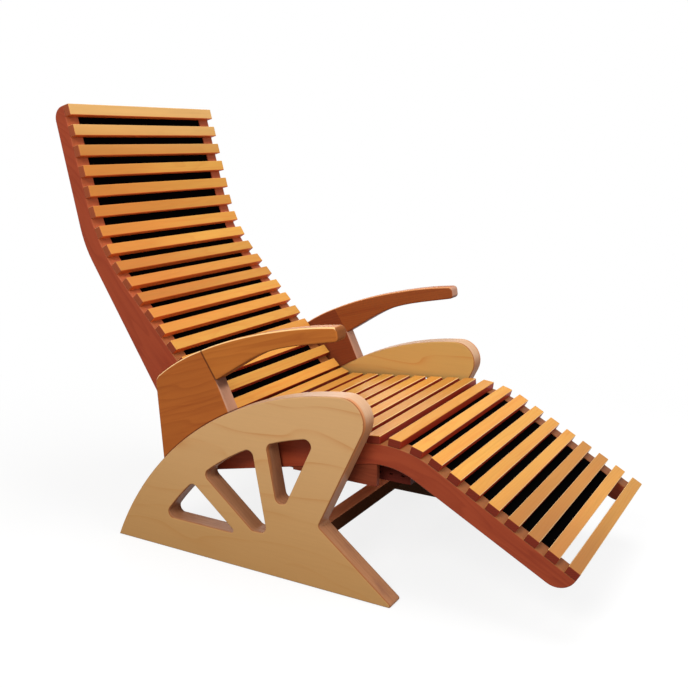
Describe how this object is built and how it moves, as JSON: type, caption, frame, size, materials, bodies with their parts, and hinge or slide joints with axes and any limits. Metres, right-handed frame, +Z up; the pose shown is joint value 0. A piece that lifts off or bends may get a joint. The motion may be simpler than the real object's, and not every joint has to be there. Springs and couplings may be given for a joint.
{
  "type": "slatted reclining lounge chair",
  "caption": "Wooden heated lounge chair: slatted back, seat and leg rest on S-shaped rails tilt between fan-cut side panels with curved arms.",
  "frame": {"origin": "on the floor, under the middle of the whole chair's box at rest", "axes": "+X towards the sitter's feet, +Y to the sitter's left, +Z up"},
  "size_m": [1.4455, 0.718, 1.1392],
  "materials": {
    "slat_cedar": "oiled golden cedar",
    "light_laminate": "clear satin birch laminate",
    "arm_cedar": "oiled cedar",
    "rail_cedar": "stained red-brown cedar",
    "heater_panel": "matt black",
    "beech_dowel": "plain beech",
    "rubber": "matt",
    "bronze": "turned bronze",
    "steel": "turned steel",
    "black_plastic": "moulded"
  },
  "bodies": {
    "base": {"base_side_right": "light_laminate", "base_side_left": "light_laminate", "arm_post_right": "arm_cedar", "arm_post_left": "arm_cedar", "arm_right": "arm_cedar", "arm_left": "arm_cedar", "stretchers": "rail_cedar", "stop_rail": "rail_cedar", "base_dowels": "beech_dowel", "stop_buffers": "rubber", "pivot_bushes": "bronze"},
    "lounge": {"back_heater": "heater_panel", "back_slat_01": "slat_cedar", "back_slat_02": "slat_cedar", "back_slat_03": "slat_cedar", "back_slat_04": "slat_cedar", "back_slat_05": "slat_cedar", "back_slat_06": "slat_cedar", "back_slat_07": "slat_cedar", "back_slat_08": "slat_cedar", "back_slat_09": "slat_cedar", "back_slat_10": "slat_cedar", "back_slat_11": "slat_cedar", "back_slat_12": "slat_cedar", "back_slat_13": "slat_cedar", "back_slat_14": "slat_cedar", "back_slat_15": "slat_cedar", "back_slat_16": "slat_cedar", "back_slat_17": "slat_cedar", "back_slat_18": "slat_cedar", "control_box": "rail_cedar", "control_box_lid": "rail_cedar", "controller": "black_plastic", "cross_rails": "rail_cedar", "leg_heater": "heater_panel", "leg_slat_01": "slat_cedar", "leg_slat_02": "slat_cedar", "leg_slat_03": "slat_cedar", "leg_slat_04": "slat_cedar", "leg_slat_05": "slat_cedar", "leg_slat_06": "slat_cedar", "leg_slat_07": "slat_cedar", "leg_slat_08": "slat_cedar", "leg_slat_09": "slat_cedar", "leg_slat_10": "slat_cedar", "mains_inlet": "black_plastic", "pivot_pins": "steel", "rail_wedges": "rail_cedar", "seat_slat_01": "slat_cedar", "seat_slat_02": "slat_cedar", "seat_slat_03": "slat_cedar", "seat_slat_04": "slat_cedar", "seat_slat_05": "slat_cedar", "seat_slat_06": "slat_cedar", "seat_slat_07": "slat_cedar", "seat_slat_08": "slat_cedar", "seat_slat_09": "slat_cedar", "side_rail_left": "rail_cedar", "side_rail_right": "rail_cedar", "slat_dowels": "beech_dowel"}
  },
  "joints": [
    {"name": "recline", "type": "hinge", "parent": "base", "child": "lounge", "pos_m": [-0.14246, 0, 0.31], "axis": [0, -1, 0], "range_deg": [0, 28]}
  ]
}
